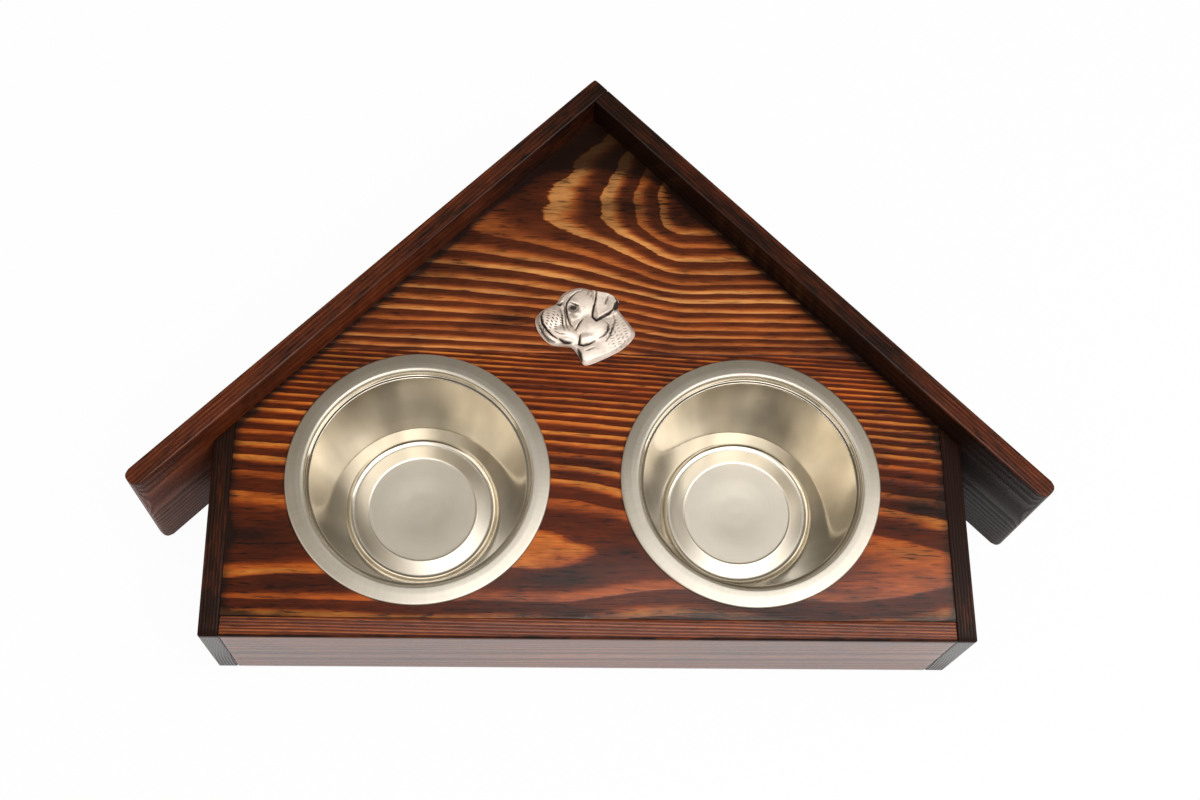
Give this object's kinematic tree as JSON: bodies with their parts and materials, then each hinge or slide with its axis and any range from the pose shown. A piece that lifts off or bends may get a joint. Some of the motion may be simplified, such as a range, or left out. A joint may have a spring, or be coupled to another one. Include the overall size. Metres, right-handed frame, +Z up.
{
  "type": "bowl stand",
  "caption": "House-shaped wooden stand with a flush panel whose round cut-outs hold lift-out steel feeding bowls, under a square ridge of roof boards on edge.",
  "frame": {"origin": "on the floor, on the ridge line, halfway from the front face to the ridge", "axes": "+X to the right seen from the front, +Y from the front board to the ridge, +Z up"},
  "size_m": [0.5548, 0.3692, 0.104],
  "materials": {
    "panel_pine": "scorched, stained and varnished pine",
    "box_pine": "dark stained and varnished pine",
    "roof_pine": "dark stained and varnished pine",
    "ledger_pine": "plain sawn pine",
    "dowel_beech": "plain turned beech",
    "screw_steel": "zinc plated",
    "bowl_steel": "satin rim, polished inside",
    "badge_pewter": "antiqued silver casting"
  },
  "bodies": {
    "stand": {"panel_front_stave": "panel_pine", "panel_back_stave": "panel_pine", "front_board": "box_pine", "left_side_board": "box_pine", "right_side_board": "box_pine", "left_roof_board": "roof_pine", "right_roof_board": "roof_pine", "badge": "badge_pewter", "ridge_dowels": "dowel_beech", "left_corner_dowels": "dowel_beech", "right_corner_dowels": "dowel_beech", "front_ledger": "ledger_pine", "left_side_ledger": "ledger_pine", "right_side_ledger": "ledger_pine", "left_roof_ledger": "ledger_pine", "right_roof_ledger": "ledger_pine", "front_ledger_board_screws": "screw_steel", "front_ledger_panel_screws": "screw_steel", "left_side_ledger_board_screws": "screw_steel", "left_side_ledger_panel_screws": "screw_steel", "right_side_ledger_board_screws": "screw_steel", "right_side_ledger_panel_screws": "screw_steel", "left_roof_ledger_board_screws": "screw_steel", "left_roof_ledger_panel_screws": "screw_steel", "right_roof_ledger_board_screws": "screw_steel", "right_roof_ledger_panel_screws": "screw_steel"},
    "left_bowl": {"left_bowl": "bowl_steel"},
    "right_bowl": {"right_bowl": "bowl_steel"}
  },
  "joints": [
    {"name": "left_bowl_lift", "type": "slide", "parent": "stand", "child": "left_bowl", "axis": [0, 0, 1], "range_m": [0, 0.1]},
    {"name": "right_bowl_lift", "type": "slide", "parent": "stand", "child": "right_bowl", "axis": [0, 0, 1], "range_m": [0, 0.1]}
  ]
}
